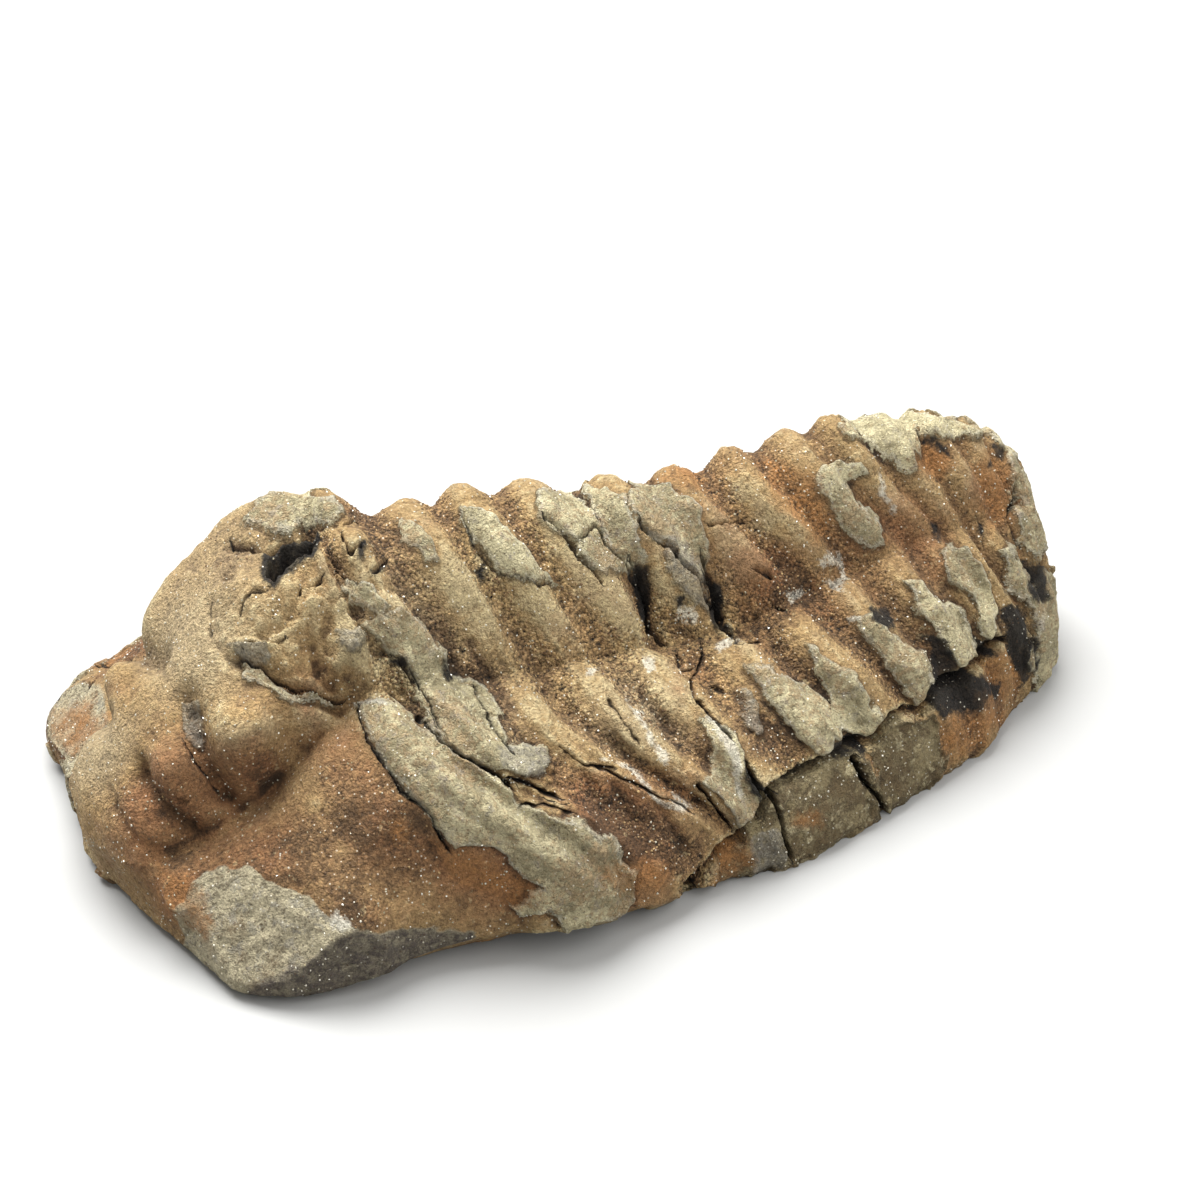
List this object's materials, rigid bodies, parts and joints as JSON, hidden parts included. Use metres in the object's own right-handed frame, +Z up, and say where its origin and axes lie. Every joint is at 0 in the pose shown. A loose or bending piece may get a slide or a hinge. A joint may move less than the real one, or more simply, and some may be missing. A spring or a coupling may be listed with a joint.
{
  "type": "trilobite fossil",
  "caption": "Weathered trilobite fossil in one piece of brown stone, lying belly down, with a domed ringed body, swept ribs, a lobed head and broken rock corners.",
  "frame": {"origin": "middle of the outline, on the flat underside that the fossil rests on", "axes": "+X along the animal from its head to its tail, +Z up from the underside to the rings, -Y towards the flank with the long crack"},
  "size_m": [0.0846, 0.0488, 0.0273],
  "materials": {
    "stone": "matt weathered stone"
  },
  "bodies": {
    "root": {"trilobite": "stone"}
  },
  "joints": []
}
